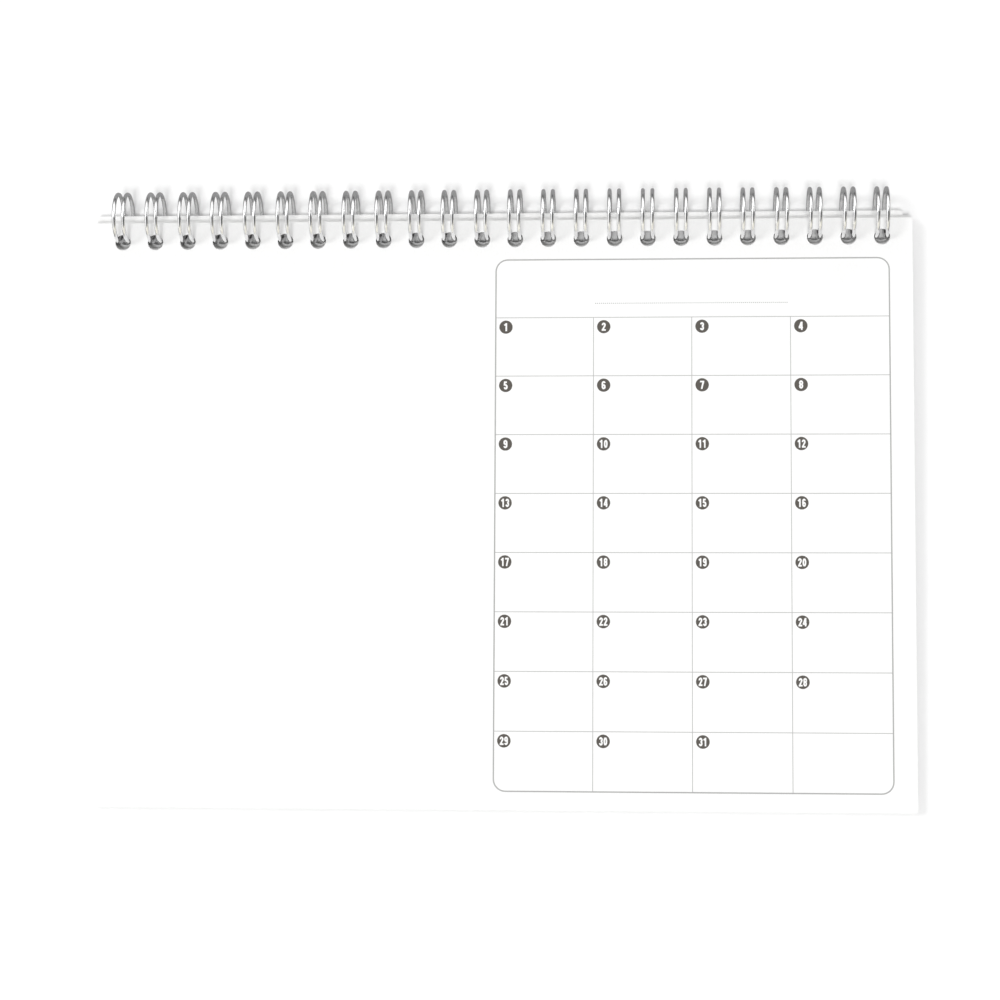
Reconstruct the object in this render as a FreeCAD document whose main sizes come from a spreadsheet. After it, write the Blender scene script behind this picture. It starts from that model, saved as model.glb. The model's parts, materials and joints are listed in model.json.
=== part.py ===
import FreeCAD, Part
import Sketcher

import os
from math import asin, atan2, cos, degrees, hypot, radians, sin

# A landscape wall calendar, bound along its top edge with twin-loop wire and lying on its back.
# Millimetres. +Z up out of the open page, +Y towards the rings, X along the binding. The origin is
# under the middle of the whole calendar, on the surface that it lies on.
#
# The leaves and the board are threaded on the rings, so the stack is laid out about the rings'
# axis: each layer's holes lie where the ring passes at that height, which makes the lower layers
# stand out beyond the front leaf's top edge. Every piece has its own origin on that axis.

SIZES = [
    # The leaves
    ("leaf_width", 210.0),
    ("leaf_height", 150.0),
    ("leaf_stack", 3.25),
    ("leaf_corner", 0.8),
    ("leaf_margin", 5.1),
    # The board behind them
    ("board_short", 2.0),
    ("board_height", 150.0),
    ("board_thickness", 1.0),
    ("board_corner", 0.8),
    ("board_margin", 5.6),
    # The punching, the same in every layer: three holes to the inch, as many as leave row_end at
    # each side
    ("hole_pitch", 8.466667),
    ("hole_diameter", 4.0),
    ("row_end", 7.5),
    # The wire
    ("wire_diameter", 1.0),
    ("ring_inside", 11.3),
    ("strand_spacing", 2.4),
    ("bend_radius", 1.0),
    ("seam_gap", 0.1),
    ("seam_angle", 252.5),
    # How the layers sit on the rings
    ("board_drop", 4.9),
    ("stack_gap", 0.1),
]

doc = FreeCAD.newDocument("wall_calendar")
sizes = doc.addObject("Spreadsheet::Sheet", "Sizes")
for line, (alias, value) in enumerate(SIZES, start=1):
    sizes.set(f"A{line}", alias)
    sizes.set(f"B{line}", repr(value))
    sizes.setAlias(f"B{line}", alias)
doc.recompute()

# Expressions that the features read. Heights are measured from the rings' axis.
RING = "((Sizes.ring_inside + Sizes.wire_diameter) / 2)"
BOARD_BACK = "(-Sizes.board_drop)"
BOARD_FRONT = "(Sizes.board_thickness - Sizes.board_drop)"
STACK_BACK = f"({BOARD_FRONT} + Sizes.stack_gap)"
STACK_FRONT = f"({STACK_BACK} + Sizes.leaf_stack)"
BOARD_WIDTH = "(Sizes.leaf_width - Sizes.board_short)"
HOLE_COUNT = "(floor((Sizes.leaf_width - 2 * Sizes.row_end) / Sizes.hole_pitch) + 1)"
HOLE_ROW = f"(({HOLE_COUNT} - 1) * Sizes.hole_pitch)"


def ring_reach(height):
    """How far the wire's centre line stands out from the axis at a height."""
    return f"sqrt({RING} ^ 2 - ({height}) ^ 2)"


def middle(low, high):
    return f"(({low} + {high}) / 2)"


# The holes through the leaves lean with the rings, on a chord of the wire's arc that is moved
# half the arc's rise outwards, so the wire has the same room on both sides.
BACK_REACH = ring_reach(STACK_BACK)
FRONT_REACH = ring_reach(STACK_FRONT)
LEAN = f"(({FRONT_REACH} - {BACK_REACH}) / Sizes.leaf_stack)"
HALF_RISE = f"(({ring_reach(middle(STACK_BACK, STACK_FRONT))} - {middle(BACK_REACH, FRONT_REACH)}) / 2)"
LEAF_ROW = f"({BACK_REACH} + {HALF_RISE})"
FRONT_LEAF_ROW = f"({FRONT_REACH} + {HALF_RISE})"
BOARD_ROW = middle(ring_reach(BOARD_BACK), ring_reach(BOARD_FRONT))


def reading(expression):
    """An expression's value as a plain number."""
    return float(sizes.evalExpression(expression))


def origin_feature(body, role):
    return next(f for f in body.Origin.OriginFeatures if f.Role == role)


def new_sketch(body, name, level, row):
    """An empty sketch parallel to the body's XY plane. level is its height above the rings' axis
    and row its distance below the axis, towards the page's foot, both as expressions."""
    sketch = body.newObject("Sketcher::SketchObject", name)
    sketch.AttachmentSupport = [(origin_feature(body, "XY_Plane"), "")]
    sketch.MapMode = "FlatFace"
    sketch.setExpression("AttachmentOffset.Base.z", level)
    sketch.setExpression("AttachmentOffset.Base.y", f"-({row})")
    return sketch


def bind(sketch, constraint, name, expression):
    """Adds a named constraint that takes its value from an expression."""
    index = sketch.addConstraint(constraint)
    sketch.renameConstraint(index, name)
    sketch.setExpression(f"Constraints.{name}", expression)


def draw_outline(sketch, width, height, margin):
    """A rectangle round the sketch's X axis, which is the line of the holes. The left sides of all
    layers are flush."""
    corners = [(-100, -140), (100, -140), (100, 5), (-100, 5)]
    for start, end in zip(corners, corners[1:] + corners[:1]):
        sketch.addGeometry(Part.LineSegment(FreeCAD.Vector(*start), FreeCAD.Vector(*end)))
    foot, right_side, head, left_side = range(4)
    for side in range(4):
        sketch.addConstraint(Sketcher.Constraint("Coincident", side, 2, (side + 1) % 4, 1))
    for side in (foot, head):
        sketch.addConstraint(Sketcher.Constraint("Horizontal", side))
    for side in (right_side, left_side):
        sketch.addConstraint(Sketcher.Constraint("Vertical", side))
    bind(sketch, Sketcher.Constraint("DistanceX", foot, 1, foot, 2, 200.0), "width", width)
    bind(sketch, Sketcher.Constraint("DistanceY", right_side, 1, right_side, 2, 145.0), "height", height)
    bind(sketch, Sketcher.Constraint("DistanceX", foot, 1, -1, 1, 100.0), "left", "Sizes.leaf_width / 2")
    bind(sketch, Sketcher.Constraint("DistanceY", -1, 1, head, 1, 5.0), "margin", margin)


def draw_first_hole(sketch):
    sketch.addGeometry(Part.Circle(FreeCAD.Vector(-97, 0), FreeCAD.Vector(0, 0, 1), 2))
    bind(sketch, Sketcher.Constraint("Diameter", 0, 4.0), "diameter", "Sizes.hole_diameter")
    bind(sketch, Sketcher.Constraint("DistanceX", 0, 3, -1, 1, 97.0), "half_row", f"{HOLE_ROW} / 2")
    sketch.addConstraint(Sketcher.Constraint("PointOnObject", 0, 3, -1))


def lean(feature, way):
    """Runs a feature along the line that the rings take through the leaves, up or down."""
    feature.UseCustomVector = True
    feature.AlongSketchNormal = True
    feature.Direction = FreeCAD.Vector(0, -reading(LEAN), 1) * way


def add_holes(body, first_hole):
    """Cuts the first hole and repeats it along the binding."""
    doc.recompute()
    row = body.newObject("PartDesign::LinearPattern", f"{body.Name}_holes")
    row.Originals = [first_hole]
    row.Direction = (first_hole.Profile[0], ["H_Axis"])
    row.setExpression("Length", HOLE_ROW)
    row.setExpression("Occurrences", HOLE_COUNT)
    body.Tip = row
    doc.recompute()


def round_corners(body, blank, radius):
    """Rounds the four corners of a sheet: the edges that run from its back to its front."""
    doc.recompute()
    box = blank.Shape.BoundBox
    upright = [
        f"Edge{i}"
        for i, edge in enumerate(blank.Shape.Edges, start=1)
        if edge.BoundBox.ZLength > box.ZLength / 2
    ]
    corners = body.newObject("PartDesign::Fillet", f"{body.Name}_corners")
    corners.Base = (blank, upright)
    corners.setExpression("Radius", radius)
    return corners


def leaf_block():
    """All the leaves, squared up against the rings. One block, its back on the board."""
    body = doc.addObject("PartDesign::Body", "leaf_block")
    outline = new_sketch(body, "leaf_outline", STACK_BACK, LEAF_ROW)
    draw_outline(outline, "Sizes.leaf_width", "Sizes.leaf_height", "Sizes.leaf_margin")
    blank = body.newObject("PartDesign::Pad", "leaf_blank")
    blank.Profile = outline
    blank.setExpression("Length", "Sizes.leaf_stack")
    lean(blank, 1)
    round_corners(body, blank, "Sizes.leaf_corner")
    hole = new_sketch(body, "leaf_hole", STACK_FRONT, FRONT_LEAF_ROW)
    draw_first_hole(hole)
    first_hole = body.newObject("PartDesign::Pocket", "leaf_first_hole")
    first_hole.Profile = hole
    first_hole.setExpression("Length", "Sizes.leaf_stack")
    lean(first_hole, -1)
    add_holes(body, first_hole)
    return body


def back_board():
    """The stiff card behind the leaves, which falls a little short of their right side."""
    body = doc.addObject("PartDesign::Body", "back_board")
    outline = new_sketch(body, "board_outline", BOARD_BACK, BOARD_ROW)
    draw_outline(outline, BOARD_WIDTH, "Sizes.board_height", "Sizes.board_margin")
    blank = body.newObject("PartDesign::Pad", "board_blank")
    blank.Profile = outline
    blank.setExpression("Length", "Sizes.board_thickness")
    round_corners(body, blank, "Sizes.board_corner")
    hole = new_sketch(body, "board_hole", BOARD_FRONT, BOARD_ROW)
    draw_first_hole(hole)
    first_hole = body.newObject("PartDesign::Pocket", "board_first_hole")
    first_hole.Profile = hole
    first_hole.setExpression("Length", "Sizes.board_thickness")
    add_holes(body, first_hole)
    return body


# The wire is one piece: a straight back that runs along the seam, and from it a finger to each
# hole, which is two strands round the ring and a round tip that comes back beside the seam.
# Angles go round the axis from +Y by way of +Z.
ring = reading(RING)
wire = reading("Sizes.wire_diameter")
half_spacing = reading("Sizes.strand_spacing / 2")
bend = reading("Sizes.bend_radius")
pitch = reading("Sizes.hole_pitch")
count = round(reading(HOLE_COUNT))
seam = reading("Sizes.seam_angle")
root = seam - degrees(bend / ring)
tip = seam + degrees((wire + reading("Sizes.seam_gap") + half_spacing) / ring)
across = FreeCAD.Vector(1, 0, 0)


def on_ring(along, angle):
    return FreeCAD.Vector(along, ring * cos(radians(angle)), ring * sin(radians(angle)))


def round_ring(angle):
    """The direction of the wire at an angle, towards a larger angle."""
    return FreeCAD.Vector(0, -sin(radians(angle)), cos(radians(angle)))


def strand(along, start, end):
    middle_point = on_ring(along, (start + end) / 2)
    return Part.Arc(on_ring(along, start), middle_point, on_ring(along, end)).toShape()


def root_bend(along, side):
    """The quarter bend between the back and a strand. side is -1 on a finger's left and 1 on
    its right. It runs from left to right, as the wire does."""
    centre = on_ring(along, root) + across * (side * bend)
    at_back = centre + round_ring(root) * bend
    at_strand = centre - across * (side * bend)
    half_way = centre + (round_ring(root) - across * side).normalize() * bend
    ends = (at_back, at_strand) if side < 0 else (at_strand, at_back)
    return Part.Arc(ends[0], half_way, ends[1]).toShape()


def back_level(along):
    return on_ring(along, root) + round_ring(root) * bend


def wire_path():
    """The wire's centre line, from its cut end on the left to its cut end on the right."""
    edges = []
    reached = -count / 2 * pitch
    for index in range(count):
        centre = (index - (count - 1) / 2) * pitch
        left, right = centre - half_spacing, centre + half_spacing
        edges.append(Part.makeLine(back_level(reached), back_level(left - bend)))
        edges.append(root_bend(left, -1))
        edges.append(strand(left, root, tip - 360))
        apex = on_ring(centre, tip) - round_ring(tip) * half_spacing
        edges.append(Part.Arc(on_ring(left, tip), apex, on_ring(right, tip)).toShape())
        edges.append(strand(right, tip - 360, root))
        edges.append(root_bend(right, 1))
        reached = right + bend
    edges.append(Part.makeLine(back_level(reached), back_level(count / 2 * pitch)))
    path = doc.addObject("Part::Feature", "wire_path")
    path.Shape = Part.Wire(edges)
    return path


def wire_binding():
    """The round wire swept along its path."""
    path = wire_path()
    section = doc.addObject("Part::Circle", "wire_section")
    section.setExpression("Radius", "Sizes.wire_diameter / 2")
    start = path.Shape.Vertexes[0].Point
    section.Placement = FreeCAD.Placement(start, FreeCAD.Rotation(FreeCAD.Vector(0, 0, 1), across))
    swept = doc.addObject("Part::Sweep", "wire_binding")
    swept.Sections = [section]
    swept.Spine = (path, [f"Edge{i}" for i in range(1, len(path.Shape.Edges) + 1)])
    swept.Solid = True
    swept.Frenet = False
    return swept


def far_edge_drop(axis_height):
    """The turn about the rings' axis, in degrees, that lowers the board's foot to the surface."""
    foot = reading(f"{BOARD_ROW} - Sizes.board_margin + Sizes.board_height")
    drop = reading("Sizes.board_drop")
    return degrees(asin(axis_height / hypot(foot, drop)) - atan2(drop, foot))


def place(binding, sheets):
    """Stands the rings on the surface and lays the sheets down on it behind them, with the whole
    calendar's middle over the origin."""
    tip_level = ring * sin(radians(tip)) - half_spacing * cos(radians(tip))
    axis_height = wire / 2 - min(tip_level, -ring)
    turn = FreeCAD.Rotation(across, far_edge_drop(axis_height))
    head = ring + wire / 2
    front_foot = f"Sizes.leaf_margin - Sizes.leaf_height - {FRONT_LEAF_ROW}"
    foot = turn.multVec(FreeCAD.Vector(0, reading(front_foot), reading(STACK_FRONT))).y
    axis = FreeCAD.Vector(0, -(head + foot) / 2, axis_height)
    binding.Placement = FreeCAD.Placement(axis, FreeCAD.Rotation())
    for piece in sheets:
        piece.Placement = FreeCAD.Placement(axis, turn)
    print("rings' axis", axis, "sheets turned", turn.Angle, "radians")


binding = wire_binding()
leaves = leaf_block()
board = back_board()
place(binding, [leaves, board])
doc.recompute()

for feature in doc.Objects:
    if "Invalid" in feature.State or "Error" in feature.State:
        raise RuntimeError(f"{feature.Label} failed: {feature.State}")
for piece in (binding, leaves, board):
    if piece.Shape.isNull() or not piece.Shape.isValid():
        raise RuntimeError(f"{piece.Label} has no valid shape")
    if len(piece.Shape.Solids) != 1:
        raise RuntimeError(f"{piece.Label} isn't one solid")

os.makedirs("parts", exist_ok=True)
for piece in (binding, leaves, board):
    piece.Shape.exportStep(f"parts/{piece.Label}.step")
    print(piece.Label, round(piece.Shape.Volume, 1), "cubic mm")
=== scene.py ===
import json
import random
from math import asin, atan2, cos, hypot, pi, radians, sin, sqrt

import bmesh
import bpy
from mathutils import Matrix, Vector
from mathutils.geometry import delaunay_2d_cdt


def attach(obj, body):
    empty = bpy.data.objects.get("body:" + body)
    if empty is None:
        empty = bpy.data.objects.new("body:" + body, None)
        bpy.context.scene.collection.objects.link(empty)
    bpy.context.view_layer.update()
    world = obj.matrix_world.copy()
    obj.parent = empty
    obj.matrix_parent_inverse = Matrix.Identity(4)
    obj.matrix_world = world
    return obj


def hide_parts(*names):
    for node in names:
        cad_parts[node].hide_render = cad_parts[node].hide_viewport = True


# The looks of a wire-bound wall calendar that lies on its back, its first leaf open.
# Blender's unit is the metre. The sizes below are in millimetres and are scaled by MM.

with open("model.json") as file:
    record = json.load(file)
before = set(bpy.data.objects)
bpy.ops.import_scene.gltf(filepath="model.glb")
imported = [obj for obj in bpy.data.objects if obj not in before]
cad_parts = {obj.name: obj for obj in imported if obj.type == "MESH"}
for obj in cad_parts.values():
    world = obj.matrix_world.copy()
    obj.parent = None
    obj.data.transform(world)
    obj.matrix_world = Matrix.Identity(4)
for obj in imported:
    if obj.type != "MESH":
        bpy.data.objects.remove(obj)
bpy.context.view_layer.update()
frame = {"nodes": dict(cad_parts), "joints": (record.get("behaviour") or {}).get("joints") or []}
MM = 0.001

# The rings
RING_INSIDE = 11.3
WIRE = 1.0
RING = (RING_INSIDE + WIRE) / 2
STRAND_SPACING = 2.4
BEND_RADIUS = 1.0
SEAM_GAP = 0.1
SEAM_ANGLE = radians(252.5)
HOLE_COUNT = 24
HOLE_PITCH = 25.4 / 3
HOLE_DIAMETER = 4.0

# The loops stand a little nearer together than the holes, and no two lean quite alike
LOOP_CREEP = 0.0016
LOOP_LEAN = 0.05
LAST_LOOP_LEAN = -0.12
PUNCH_SLOPE = 0.001

# The leaves and the board
LEAF_WIDTH = 210.0
LEAF_HEIGHT = 150.0
LEAF_MARGIN = 5.1
LEAF_CORNER = 0.8
LEAF_STACK = 3.25
LEAF_COUNT = 13
LEAF_SLIP = 0.03
LEAF_AIR = 0.02
BOARD_THICKNESS = 1.0
BOARD_HEIGHT = 150.0
BOARD_MARGIN = 5.6
BOARD_DROP = 4.9
STACK_GAP = 0.1

# Heights above the rings' axis, and the reach of the rings at a height
STACK_BACK = BOARD_THICKNESS - BOARD_DROP + STACK_GAP
STACK_FRONT = STACK_BACK + LEAF_STACK


def ring_reach(height):
    return sqrt(RING ** 2 - height ** 2)


BOARD_ROW = (ring_reach(-BOARD_DROP) + ring_reach(BOARD_THICKNESS - BOARD_DROP)) / 2
BACK_REACH = ring_reach(STACK_BACK)
FRONT_REACH = ring_reach(STACK_FRONT)
HALF_RISE = (ring_reach((STACK_BACK + STACK_FRONT) / 2) - (BACK_REACH + FRONT_REACH) / 2) / 2
BACK_ROW = BACK_REACH + HALF_RISE
FRONT_ROW = FRONT_REACH + HALF_RISE

# Where the pieces lie: the rings' axis, and the turn about it that lowers the board's foot
AXIS = Vector(frame["joints"][0]["pos_m"])
BOARD_FOOT = BOARD_ROW - BOARD_MARGIN + BOARD_HEIGHT
SHEET_TURN = asin(AXIS.z / MM / hypot(BOARD_FOOT, BOARD_DROP)) - atan2(BOARD_DROP, BOARD_FOOT)
ON_AXIS = Matrix.Translation(AXIS) @ Matrix.Scale(MM, 4)
ON_SHEETS = Matrix.Translation(AXIS) @ Matrix.Rotation(SHEET_TURN, 4, "X") @ Matrix.Scale(MM, 4)

# The print, in millimetres from the front leaf's left edge and down from its top edge
GRID_LEFT = 104.37
GRID_RIGHT = 204.08
GRID_TOP = 10.29
GRID_FOOT = 145.26
HEADER_FOOT = 25.24
GRID_CORNER = 3.0
COLUMNS = 4
ROWS = 8
DAYS = 31
FRAME_LINE = 0.34
CELL_LINE = 0.2
DISC_DIAMETER = 3.4
DISC_INSET = (2.6, 2.4)
DIGIT_HEIGHT = 2.1
DIGIT_WIDTH = 0.5
DIGIT_GAP = 0.09
DIGIT_PEN = 0.2
PAIR_CONDENSED = 0.9
DOTTED_LINE = (129.7, 178.5)
DOTTED_LEVEL = 21.5
DOT_PITCH = 0.5
DOT_SIZE = 0.24

# The light. Tilts are in degrees from straight up, towards the rings' side.
EVEN_LIGHT = 0.58
SIDE_LIGHT = 0.15
BACK_LIGHT = 0.6
OVERHEAD_LIGHT = 1.35
OVERHEAD_SPREAD = 14
OVERHEAD_FROM = (-0.02, -0.40, 0.92)
KEY_LIGHT = 0.7
KEY_SPREAD = 18
KEY_FROM = (-0.55, 0.1, 0.83)
WARM_WHITE = (1.05, 1.02, 0.9)
SOFTBOX_WHITE = (1.6, 1.6, 1.6)
MIRRORED = [
    (-90, WARM_WHITE), (-56, WARM_WHITE), (-48, (0.18, 0.18, 0.18)), (-8, (0.15, 0.15, 0.15)),
    (6, (0.5, 0.5, 0.5)), (22, (1.0, 1.0, 1.0)), (28, SOFTBOX_WHITE), (62, SOFTBOX_WHITE),
    (68, (0.25, 0.25, 0.25)), (90, (0.1, 0.1, 0.1)),
]
MIRRORED_FLOOR = (0.36, 0.36, 0.36, 1)

random.seed(7)


# Materials


def new_material(name):
    material = bpy.data.materials.new(name)
    material.use_nodes = True
    nodes = material.node_tree.nodes
    return material, nodes, material.node_tree.links, nodes["Principled BSDF"]


def place_noise(nodes, links, scale, detail=4.0, roughness=0.55, stretch=(1, 1, 1)):
    """Noise in the object's own coordinates, in metres. scale is per metre."""
    where = nodes.new("ShaderNodeTexCoord")
    mapping = nodes.new("ShaderNodeMapping")
    mapping.inputs["Scale"].default_value = stretch
    noise = nodes.new("ShaderNodeTexNoise")
    noise.inputs["Scale"].default_value = scale
    noise.inputs["Detail"].default_value = detail
    noise.inputs["Roughness"].default_value = roughness
    links.new(where.outputs["Object"], mapping.inputs["Vector"])
    links.new(mapping.outputs["Vector"], noise.inputs["Vector"])
    return noise.outputs["Fac"]


def colour_ramp(nodes, links, factor, stops):
    ramp = nodes.new("ShaderNodeValToRGB")
    ramp.color_ramp.elements[0].position = stops[0][0]
    ramp.color_ramp.elements[0].color = (*stops[0][1], 1)
    ramp.color_ramp.elements[1].position = stops[-1][0]
    ramp.color_ramp.elements[1].color = (*stops[-1][1], 1)
    for position, colour in stops[1:-1]:
        ramp.color_ramp.elements.new(position).color = (*colour, 1)
    links.new(factor, ramp.inputs["Fac"])
    return ramp.outputs["Color"]


def add_bump(nodes, links, shader, height, strength, distance):
    bump = nodes.new("ShaderNodeBump")
    bump.inputs["Strength"].default_value = strength
    bump.inputs["Distance"].default_value = distance
    links.new(height, bump.inputs["Height"])
    links.new(bump.outputs["Normal"], shader.inputs["Normal"])


def fibre_material(name, light, dark, roughness, fibre_scale, bump_depth):
    """Paper or card: a colour that varies a little with its fibres, which also give it a tooth."""
    material, nodes, links, shader = new_material(name)
    cloud = place_noise(nodes, links, 60, detail=3)
    fibres = place_noise(nodes, links, fibre_scale, detail=6, roughness=0.65, stretch=(1, 0.45, 1))
    mixed = nodes.new("ShaderNodeMath")
    mixed.operation = "MULTIPLY_ADD"
    mixed.inputs[1].default_value = 0.35
    links.new(cloud, mixed.inputs[0])
    scaled = nodes.new("ShaderNodeMath")
    scaled.operation = "MULTIPLY"
    scaled.inputs[1].default_value = 0.65
    links.new(fibres, scaled.inputs[0])
    links.new(scaled.outputs[0], mixed.inputs[2])
    colour = colour_ramp(nodes, links, mixed.outputs[0], [(0.32, dark), (0.62, light)])
    links.new(colour, shader.inputs["Base Color"])
    shader.inputs["Roughness"].default_value = roughness
    shader.inputs["Specular IOR Level"].default_value = 0.35
    add_bump(nodes, links, shader, fibres, 0.35, bump_depth)
    return material


def wire_material():
    """Bright drawn steel: fine scratches along it and a roughness that varies from place to place."""
    material, nodes, links, shader = new_material("bright_wire")
    cloud = place_noise(nodes, links, 700, detail=3)
    scratches = place_noise(nodes, links, 9000, detail=4)
    colour = colour_ramp(nodes, links, cloud, [(0.3, (0.70, 0.70, 0.71)), (0.7, (0.84, 0.84, 0.84))])
    links.new(colour, shader.inputs["Base Color"])
    shader.inputs["Metallic"].default_value = 1.0
    gloss = nodes.new("ShaderNodeMapRange")
    gloss.inputs["To Min"].default_value = 0.12
    gloss.inputs["To Max"].default_value = 0.24
    links.new(scratches, gloss.inputs["Value"])
    links.new(gloss.outputs["Result"], shader.inputs["Roughness"])
    add_bump(nodes, links, shader, scratches, 0.15, 0.00002)
    return material


def ink_material(name, light, dark):
    """Offset ink, which covers the paper's tooth a little unevenly."""
    material, nodes, links, shader = new_material(name)
    fibres = place_noise(nodes, links, 9000, detail=4, roughness=0.6)
    colour = colour_ramp(nodes, links, fibres, [(0.35, dark), (0.65, light)])
    links.new(colour, shader.inputs["Base Color"])
    shader.inputs["Roughness"].default_value = 0.6
    shader.inputs["Specular IOR Level"].default_value = 0.4
    add_bump(nodes, links, shader, fibres, 0.2, 0.00002)
    return material


def floor_material():
    """A matt white surface, which shows grey in reflections so that the wire stands out from it."""
    material, nodes, links, shader = new_material("white_surface")
    shader.inputs["Base Color"].default_value = (0.9, 0.9, 0.9, 1)
    shader.inputs["Roughness"].default_value = 0.8
    shader.inputs["Specular IOR Level"].default_value = 0.1
    mirrored = nodes.new("ShaderNodeEmission")
    mirrored.inputs["Color"].default_value = MIRRORED_FLOOR
    rays = nodes.new("ShaderNodeLightPath")
    either = nodes.new("ShaderNodeMixShader")
    links.new(rays.outputs["Is Glossy Ray"], either.inputs["Fac"])
    links.new(shader.outputs["BSDF"], either.inputs[1])
    links.new(mirrored.outputs["Emission"], either.inputs[2])
    links.new(either.outputs["Shader"], nodes["Material Output"].inputs["Surface"])
    return material


PAPER = fibre_material("leaf_paper", (0.88, 0.88, 0.875), (0.84, 0.84, 0.835), 0.8, 2600, 0.00003)
# The walls of the holes, far darker than cut paper is: painted to stand in for the shade in them
PAINTED_HOLE_SHADE = fibre_material("painted_hole_shade", (0.075, 0.07, 0.066), (0.05, 0.047, 0.044), 0.9, 2600, 0.00004)
CARD = fibre_material("board_card", (0.85, 0.85, 0.845), (0.80, 0.80, 0.795), 0.85, 1800, 0.00004)
METAL = wire_material()
FRAME_INK = ink_material("frame_ink", (0.40, 0.40, 0.395), (0.35, 0.35, 0.345))
CELL_INK = ink_material("cell_ink", (0.47, 0.47, 0.465), (0.41, 0.41, 0.405))
DISC_INK = ink_material("disc_ink", (0.096, 0.086, 0.075), (0.082, 0.073, 0.064))


def mesh_object(name, mesh, materials, body, replaced):
    for material in materials:
        mesh.materials.append(material)
    piece = bpy.data.objects.new(name, mesh)
    bpy.context.scene.collection.objects.link(piece)
    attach(piece, body)
    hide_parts(replaced)
    return piece


# Flat shapes, each a list of corners in millimetres


def circle(x, y, diameter, segments):
    turns = [2 * pi * i / segments for i in range(segments)]
    return [(x + diameter / 2 * cos(t), y + diameter / 2 * sin(t)) for t in turns]


def rectangle(left, foot, right, head):
    return [(left, foot), (right, foot), (right, head), (left, head)]


def rounded(left, foot, right, head, radius, segments=8):
    """A rectangle with round corners, counter-clockwise from its lower left corner."""
    corners = [
        (left + radius, foot + radius, pi),
        (right - radius, foot + radius, 1.5 * pi),
        (right - radius, head - radius, 0),
        (left + radius, head - radius, 0.5 * pi),
    ]
    return [
        (x + radius * cos(start + i * pi / 2 / segments), y + radius * sin(start + i * pi / 2 / segments))
        for x, y, start in corners
        for i in range(segments + 1)
    ]


def signed_area(corners):
    """Twice the area of a flat shape, above zero where its corners run counter-clockwise."""
    return sum(a[0] * b[1] - b[0] * a[1] for a, b in zip(corners, corners[1:] + corners[:1]))


def stroke(points, width):
    """A pen stroke along a line of points, as one flat shape."""
    line = [Vector(point) for point in points]
    left, right = [], []
    for i, point in enumerate(line):
        before = (point - line[i - 1]).normalized() if i else None
        after = (line[i + 1] - point).normalized() if i + 1 < len(line) else None
        along = ((before or after) + (after or before)).normalized()
        across = Vector((-along.y, along.x)) * (width / 2) / along.dot(before or after)
        left.append(point + across)
        right.append(point - across)
    shape = [tuple(corner) for corner in left[::-1] + right]
    return shape if signed_area(shape) > 0 else shape[::-1]


def bow(x, y, reach, rise, first, last, steps=10):
    """Points along part of an ellipse, its angles in degrees."""
    angles = [radians(first + (last - first) * i / steps) for i in range(steps + 1)]
    return [(x + reach * cos(a), y + rise * sin(a)) for a in angles]


def digit_lines(digit):
    """A condensed digit's pen lines, in a box DIGIT_WIDTH wide and 1 high."""
    edge = DIGIT_PEN / 2
    middle = DIGIT_WIDTH / 2
    head, foot, right = 1 - edge, edge, DIGIT_WIDTH - edge
    reach = middle - edge
    upper, upper_rise = 0.71, 0.29 - edge
    lower, lower_rise = 0.31, 0.31 - edge
    if digit == 0:
        halves = [(90, 270), (270, 450)]
        return [bow(middle, 0.5, reach, 0.5 - edge, *half) for half in halves]
    if digit == 1:
        return [[(middle + 0.04, 0), (middle + 0.04, 1)], [(0.05, 0.72), (middle + 0.06, 0.9)]]
    if digit == 2:
        neck = bow(middle, upper, reach, upper_rise, 190, -25) + [(edge, edge)]
        return [neck, [(0, foot), (DIGIT_WIDTH, foot)]]
    if digit == 3:
        upper_bow = bow(middle, upper, reach, upper_rise, 175, -100)
        lower_bow = bow(middle, lower, reach, lower_rise, 100, -175)
        return [upper_bow, lower_bow]
    if digit == 4:
        return [[(0.36, 0), (0.36, 1)], [(0.33, 0.95), (0.06, 0.28)], [(0, 0.28), (DIGIT_WIDTH, 0.28)]]
    if digit == 5:
        belly = bow(middle, 0.33, reach, 0.33 - edge, 140, -170)
        return [[(0.06, head), (right, head)], [(0.14, 1), (0.10, 0.48)], belly]
    if digit == 7:
        return [[(0, head), (DIGIT_WIDTH, head)], [(right, 0.86), (0.3, 0.5), (0.19, 0)]]
    if digit == 8:
        rings = [(upper, upper_rise + 0.01), (lower, lower_rise)]
        return [bow(middle, y, reach, rise, a, a + 180) for y, rise in rings for a in (0, 180)]
    rings = [bow(middle, lower, reach, lower_rise, a, a + 180) for a in (0, 180)]
    six = rings + [[(edge, lower), (edge, upper)], bow(middle, upper, reach, upper_rise, 180, 15)]
    if digit == 6:
        return six
    return [[(DIGIT_WIDTH - x, 1 - y) for x, y in line] for line in six]


def number_shapes(number, x, y):
    """The pen strokes of a number, centred on x, y."""
    digits = [int(figure) for figure in str(number)]
    condensed = PAIR_CONDENSED if len(digits) > 1 else 1
    advance = DIGIT_WIDTH + DIGIT_GAP
    start = -(len(digits) * advance - DIGIT_GAP) / 2
    shapes = []
    for place, digit in enumerate(digits):
        for line in digit_lines(digit):
            inked = stroke(line, DIGIT_PEN)
            left = start + place * advance
            shapes.append([
                (x + (left + a) * DIGIT_HEIGHT * condensed, y + (b - 0.5) * DIGIT_HEIGHT)
                for a, b in inked
            ])
    return shapes


# The print on the front leaf. Each shape is (corners, ink), and a later one covers an earlier
# one. Across is measured from the middle of the leaf and up from the rings' axis.

# The second slot, for the walls of the holes, holds painted shade.
PAPER_SLOT, HOLE_SHADE_SLOT, FRAME_SLOT, CELL_SLOT, DISC_SLOT, CUT_OUT = range(6)
FRONT_TOP_EDGE = LEAF_MARGIN - FRONT_ROW


def on_page(across, down):
    return across - LEAF_WIDTH / 2, FRONT_TOP_EDGE - down


def page_rectangle(left, top, right, foot):
    x0, y0 = on_page(left, foot)
    x1, y1 = on_page(right, top)
    return rectangle(x0, y0, x1, y1)


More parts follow.
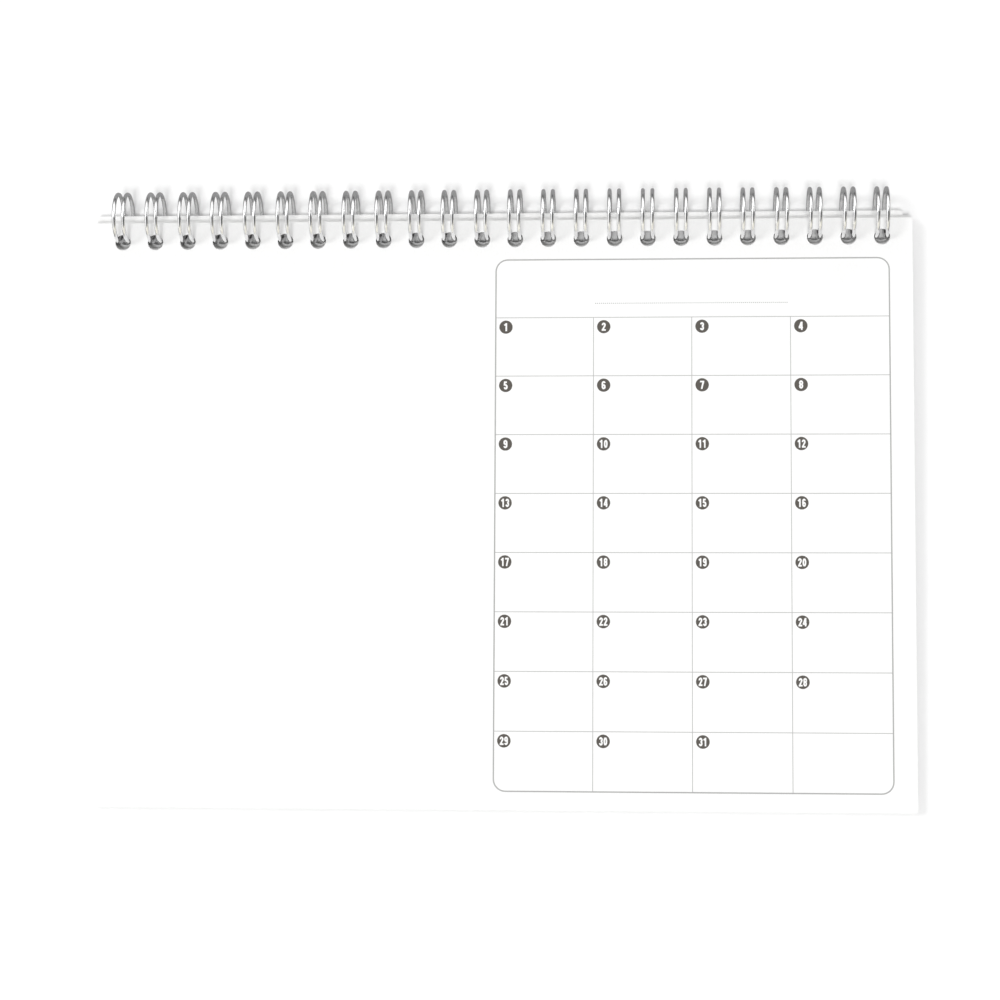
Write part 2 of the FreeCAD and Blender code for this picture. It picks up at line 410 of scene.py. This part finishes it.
def frame_shapes():
    x0, y0 = on_page(GRID_LEFT, GRID_FOOT)
    x1, y1 = on_page(GRID_RIGHT, GRID_TOP)
    half = FRAME_LINE / 2
    outer = rounded(x0 - half, y0 - half, x1 + half, y1 + half, GRID_CORNER + half)
    inner = rounded(x0 + half, y0 + half, x1 - half, y1 - half, GRID_CORNER - half)
    return [(outer, FRAME_SLOT), (inner, PAPER_SLOT)]


def cell_lines():
    half = CELL_LINE / 2
    inside = FRAME_LINE / 2
    row_height = (GRID_FOOT - HEADER_FOOT) / ROWS
    column_width = (GRID_RIGHT - GRID_LEFT) / COLUMNS
    shapes = []
    for column in range(1, COLUMNS):
        across = GRID_LEFT + column * column_width
        line = page_rectangle(across - half, HEADER_FOOT, across + half, GRID_FOOT - inside)
        shapes.append((line, CELL_SLOT))
    for row in range(ROWS):
        down = HEADER_FOOT + row * row_height
        line = page_rectangle(GRID_LEFT + inside, down - half, GRID_RIGHT - inside, down + half)
        shapes.append((line, CELL_SLOT))
    return shapes


def day_shapes():
    """A disc in the corner of each day's cell, with the day's number left white in it."""
    row_height = (GRID_FOOT - HEADER_FOOT) / ROWS
    column_width = (GRID_RIGHT - GRID_LEFT) / COLUMNS
    shapes = []
    for day in range(DAYS):
        row, column = divmod(day, COLUMNS)
        across = GRID_LEFT + column * column_width + DISC_INSET[0]
        down = HEADER_FOOT + row * row_height + DISC_INSET[1]
        x, y = on_page(across, down)
        shapes.append((circle(x, y, DISC_DIAMETER, 40), DISC_SLOT))
        shapes += [(strokes, PAPER_SLOT) for strokes in number_shapes(day + 1, x, y)]
    return shapes


def dotted_line():
    shapes = []
    across = DOTTED_LINE[0]
    while across < DOTTED_LINE[1]:
        dot = page_rectangle(across, DOTTED_LEVEL, across + DOT_SIZE, DOTTED_LEVEL + DOT_SIZE)
        shapes.append((dot, FRAME_SLOT))
        across += DOT_PITCH
    return shapes


# The leaves


def sheet_mesh(name, shapes, height, thickness, hole_row, place):
    """A flat sheet from painted shapes: the first is its outline, and CUT_OUT ones are holes. The
    walls of the holes, which lie along hole_row, are the punched edge, coloured near black as painted
    shade."""
    points = []
    faces = []
    for corners, _ in shapes:
        faces.append(list(range(len(points), len(points) + len(corners))))
        points += [Vector(c) for c in corners]
    verts, _, triangles, _, _, origins = delaunay_2d_cdt(points, [], faces, 0, 1e-5)
    bm = bmesh.new()
    made = [bm.verts.new((v.x, v.y, height)) for v in verts]
    for triangle, origin in zip(triangles, origins):
        if not origin:
            continue
        ink = shapes[max(origin)][1]
        if ink != CUT_OUT:
            bm.faces.new([made[v] for v in triangle]).material_index = ink
    bmesh.ops.delete(bm, geom=[v for v in bm.verts if not v.link_faces], context="VERTS")
    front = bm.faces[:]
    grown = bmesh.ops.extrude_face_region(bm, geom=front)["geom"]
    backs = [g for g in grown if isinstance(g, bmesh.types.BMVert)]
    bmesh.ops.translate(bm, vec=(0, 0, -thickness), verts=backs)
    bmesh.ops.recalc_face_normals(bm, faces=bm.faces)
    for face in bm.faces:
        if face.normal.z < 0.5:
            middle = face.calc_center_median()
            upright = abs(face.normal.z) < 0.5
            beside_row = abs(middle.y - hole_row) < HOLE_DIAMETER
            inside_ends = abs(middle.x) < LEAF_WIDTH / 2 - HOLE_DIAMETER
            in_hole = upright and beside_row and inside_ends
            # The walls of the holes take the near-black painted shade, not the paper's own colour.
            face.material_index = HOLE_SHADE_SLOT if in_hole else PAPER_SLOT
        face.smooth = True
    for edge in bm.edges:
        edge.smooth = edge.is_manifold and edge.calc_face_angle(0) < radians(40)
    mesh = bpy.data.meshes.new(name)
    bm.transform(place)
    bm.to_mesh(mesh)
    bm.free()
    return mesh


def leaf(index):
    """One leaf, 0 at the back. Each is cut and knocked up a little differently from the next."""
    pitch = LEAF_STACK / LEAF_COUNT
    front = index == LEAF_COUNT - 1
    top = STACK_BACK + (index + 1) * pitch
    thickness = pitch if index == 0 else pitch - LEAF_AIR
    row = BACK_ROW + (FRONT_ROW - BACK_ROW) * (index + 1) / LEAF_COUNT
    slip = 0 if front else LEAF_SLIP
    slide_x = random.uniform(-slip, slip)
    slide_y = random.uniform(-slip, slip)
    trim = 0 if front else LEAF_SLIP
    outline = rounded(
        -LEAF_WIDTH / 2 + trim + slide_x,
        -row + LEAF_MARGIN - LEAF_HEIGHT + trim + slide_y,
        LEAF_WIDTH / 2 - trim + slide_x,
        -row + LEAF_MARGIN - trim + slide_y,
        LEAF_CORNER,
        6,
    )
    shapes = [(outline, PAPER_SLOT)]
    if front:
        shapes += front_print()
    for hole in range(HOLE_COUNT):
        x = (hole - (HOLE_COUNT - 1) / 2) * HOLE_PITCH
        y = hole * HOLE_PITCH * PUNCH_SLOPE - row
        shapes.append((circle(x + slide_x, y + slide_y, HOLE_DIAMETER, 40), CUT_OUT))
    name = f"leaf_{LEAF_COUNT - index:02d}"
    mesh = sheet_mesh(name, shapes, top, thickness, -row, ON_SHEETS)
    finishes = [PAPER, PAINTED_HOLE_SHADE, FRAME_INK, CELL_INK, DISC_INK] if front else [PAPER, PAINTED_HOLE_SHADE]
    return mesh_object(name, mesh, finishes, "leaves", "leaf_block")


def front_print():
    return frame_shapes() + cell_lines() + dotted_line() + day_shapes()


# The wire


def on_ring(along, angle):
    return Vector((along, RING * cos(angle), RING * sin(angle)))


def outward(angle):
    return Vector((0, cos(angle), sin(angle)))


def round_ring(angle):
    return Vector((0, -sin(angle), cos(angle)))


ACROSS = Vector((1, 0, 0))
HALF_SPACING = STRAND_SPACING / 2
ROOT = SEAM_ANGLE - BEND_RADIUS / RING
TIP = SEAM_ANGLE + (WIRE + SEAM_GAP + HALF_SPACING) / RING


def arc_in_plane(centre, start, end, radius, first, last, steps):
    """Points of a flat arc: centre + radius (cos a start + sin a end), with a from first to last."""
    angles = [first + (last - first) * i / steps for i in range(steps + 1)]
    return [centre + radius * (cos(a) * start + sin(a) * end) for a in angles]


def wire_line():
    """The wire's centre line as (point, outward direction), from its left cut end to its right."""
    line = []

    def add(points, directions):
        for point, direction in zip(points, directions):
            if not line or (point - line[-1][0]).length > 1e-4:
                line.append((point, direction))

    root_out = outward(ROOT)
    tip_out = outward(TIP)
    back = round_ring(ROOT) * BEND_RADIUS
    strand_steps = 72
    add([on_ring(-HOLE_COUNT / 2 * HOLE_PITCH, ROOT) + back], [root_out])
    for index in range(HOLE_COUNT):
        middle = (index - (HOLE_COUNT - 1) / 2) * HOLE_PITCH * (1 - LOOP_CREEP)
        last_loop = index == HOLE_COUNT - 1
        lean = LAST_LOOP_LEAN if last_loop else random.uniform(-LOOP_LEAN, LOOP_LEAN)
        left = middle - HALF_SPACING
        right = middle + HALF_SPACING
        centre = on_ring(left - BEND_RADIUS, ROOT)
        points = arc_in_plane(centre, round_ring(ROOT), ACROSS, BEND_RADIUS, 0, pi / 2, 8)
        add(points, [root_out] * len(points))
        first, last = ROOT, TIP - 2 * pi
        angles = [first + (last - first) * i / strand_steps for i in range(strand_steps + 1)]
        leans = [lean * sin(pi * i / strand_steps) ** 4 for i in range(strand_steps + 1)]
        add([on_ring(left + x, a) for x, a in zip(leans, angles)], [outward(a) for a in angles])
        centre = on_ring(middle, TIP)
        points = arc_in_plane(centre, -ACROSS, -round_ring(TIP), HALF_SPACING, 0, pi, 16)
        add(points, [tip_out] * len(points))
        returning = list(zip(leans, angles))[::-1]
        add([on_ring(right + x, a) for x, a in returning], [outward(a) for _, a in returning])
        centre = on_ring(right + BEND_RADIUS, ROOT)
        points = arc_in_plane(centre, -ACROSS, round_ring(ROOT), BEND_RADIUS, 0, pi / 2, 8)
        add(points, [root_out] * len(points))
    add([on_ring(HOLE_COUNT / 2 * HOLE_PITCH, ROOT) + back], [root_out])
    return line


def wire_binding():
    """The round wire, swept along its centre line."""
    line = wire_line()
    sides = 16
    bm = bmesh.new()
    rings = []
    for i, (point, out) in enumerate(line):
        before = line[max(i - 1, 0)][0]
        after = line[min(i + 1, len(line) - 1)][0]
        along = (after - before).normalized()
        side = along.cross(out).normalized()
        out = side.cross(along)
        turns = [2 * pi * k / sides for k in range(sides)]
        rings.append([bm.verts.new(point + WIRE / 2 * (cos(t) * out + sin(t) * side)) for t in turns])
    for one, two in zip(rings, rings[1:]):
        for k in range(sides):
            n = (k + 1) % sides
            bm.faces.new((one[k], one[n], two[n], two[k])).smooth = True
    bm.faces.new(rings[0])
    bm.faces.new(rings[-1])
    bmesh.ops.recalc_face_normals(bm, faces=bm.faces)
    bm.transform(ON_AXIS)
    mesh = bpy.data.meshes.new("wire_loops")
    bm.to_mesh(mesh)
    bm.free()
    return mesh_object("wire_loops", mesh, [METAL], "binding", "wire_binding")


def back_board():
    board = frame["nodes"]["back_board"]
    board.data.materials.clear()
    board.data.materials.append(CARD)
    return board


# The surroundings


def floor():
    size = 3.0
    mesh = bpy.data.meshes.new("floor")
    corners = [(-size, -size, 0), (size, -size, 0), (size, size, 0), (-size, size, 0)]
    mesh.from_pydata(corners, [], [(0, 1, 2, 3)])
    mesh.materials.append(floor_material())
    plane = bpy.data.objects.new("floor", mesh)
    bpy.context.scene.collection.objects.link(plane)


def worked(nodes, links, operation, *values):
    """A Math node's result. Each value is a socket or a number."""
    node = nodes.new("ShaderNodeMath")
    node.operation = operation
    for socket, value in zip(node.inputs, values):
        if isinstance(value, bpy.types.NodeSocket):
            links.new(value, socket)
        else:
            socket.default_value = value
    return node.outputs[0]


def eased(nodes, links, value, start, end):
    """0 at start, 1 at end and a straight line between them."""
    node = nodes.new("ShaderNodeMapRange")
    node.inputs["From Min"].default_value = start
    node.inputs["From Max"].default_value = end
    links.new(value, node.inputs["Value"])
    return node.outputs["Result"]


def mirrored_studio(nodes, links, x, y, z):
    """What the wire mirrors, by the direction's tilt from straight up: a pale foreground, the dark
    gap where the camera hangs, a softbox behind the rings and the dim foot of the back wall."""
    tilt = worked(nodes, links, "ARCTAN2", y, z)
    place = worked(nodes, links, "MULTIPLY_ADD", tilt, 1 / pi, 0.5)
    stops = [(tilt_angle / 180 + 0.5, colour) for tilt_angle, colour in MIRRORED]
    band = colour_ramp(nodes, links, place, stops)
    leftwards = eased(nodes, links, x, -0.2, -0.5)
    upwards = eased(nodes, links, z, 0.1, 0.35)
    left = worked(nodes, links, "MULTIPLY", leftwards, upwards)
    mixed = nodes.new("ShaderNodeMix")
    mixed.data_type = "RGBA"
    links.new(left, mixed.inputs["Factor"])
    links.new(band, mixed.inputs["A"])
    mixed.inputs["B"].default_value = (1.4, 1.4, 1.4, 1)
    return mixed.outputs["Result"]


def surroundings():
    """A white studio. The light on the sheets is even, a little brighter from the left and from low
    down behind the rings. The wire mirrors other surroundings, and the camera sees plain white."""
    world = bpy.data.worlds.new("studio")
    bpy.context.scene.world = world
    world.use_nodes = True
    nodes = world.node_tree.nodes
    links = world.node_tree.links
    where = nodes.new("ShaderNodeTexCoord")
    split = nodes.new("ShaderNodeSeparateXYZ")
    links.new(where.outputs["Generated"], split.inputs["Vector"])
    x, y, z = split.outputs
    side = worked(nodes, links, "MULTIPLY_ADD", x, -SIDE_LIGHT, 1.0)
    behind = worked(nodes, links, "MULTIPLY_ADD", eased(nodes, links, y, 0.5, 0.95), BACK_LIGHT, 1.0)
    even = nodes["Background"]
    evenness = worked(nodes, links, "MULTIPLY", side, behind)
    links.new(worked(nodes, links, "MULTIPLY", evenness, EVEN_LIGHT), even.inputs["Strength"])
    even.inputs["Color"].default_value = (1, 1, 1, 1)
    mirrored = nodes.new("ShaderNodeBackground")
    links.new(mirrored_studio(nodes, links, x, y, z), mirrored.inputs["Color"])
    seen = nodes.new("ShaderNodeBackground")
    seen.inputs["Color"].default_value = (1, 1, 1, 1)
    rays = nodes.new("ShaderNodeLightPath")
    lit = nodes.new("ShaderNodeMixShader")
    links.new(rays.outputs["Is Glossy Ray"], lit.inputs["Fac"])
    links.new(even.outputs["Background"], lit.inputs[1])
    links.new(mirrored.outputs["Background"], lit.inputs[2])
    either = nodes.new("ShaderNodeMixShader")
    links.new(rays.outputs["Is Camera Ray"], either.inputs["Fac"])
    links.new(lit.outputs["Shader"], either.inputs[1])
    links.new(seen.outputs["Background"], either.inputs[2])
    links.new(either.outputs["Shader"], nodes["World Output"].inputs["Surface"])


def lamp(name, power, spread, comes_from, in_reflections):
    """A far soft lamp. Its direction is given from the calendar towards the lamp."""
    data = bpy.data.lights.new(name, "SUN")
    data.energy = power
    data.angle = radians(spread)
    light = bpy.data.objects.new(name, data)
    light.rotation_mode = "QUATERNION"
    light.rotation_quaternion = (-Vector(comes_from)).to_track_quat("-Z", "Y")
    light.visible_glossy = in_reflections
    bpy.context.scene.collection.objects.link(light)


def camera():
    """The photograph's camera: almost straight above, a long lens."""
    data = bpy.data.cameras.new("camera")
    data.lens = 85.03
    data.sensor_width = 36
    data.clip_start = 0.01
    data.clip_end = 20
    place = Vector((0.03852, -0.06073, 0.600))
    target = Vector((0.00034, -0.00029, 0))
    roll = Matrix.Rotation(radians(0.353), 4, "Z")
    forward = (target - place).normalized()
    right = forward.cross(Vector((0, 1, 0))).normalized()
    facing = Matrix((right, right.cross(forward), -forward)).transposed().to_4x4()
    view = bpy.data.objects.new("camera", data)
    view.matrix_world = Matrix.Translation(place) @ facing @ roll
    bpy.context.scene.collection.objects.link(view)
    bpy.context.scene.camera = view


camera()
bpy.context.scene.view_settings.view_transform = "Standard"
surroundings()
lamp("overhead_light", OVERHEAD_LIGHT, OVERHEAD_SPREAD, OVERHEAD_FROM, False)
lamp("key_light", KEY_LIGHT, KEY_SPREAD, KEY_FROM, True)
floor()
wire_binding()
back_board()
for leaf_index in range(LEAF_COUNT):
    leaf(leaf_index)
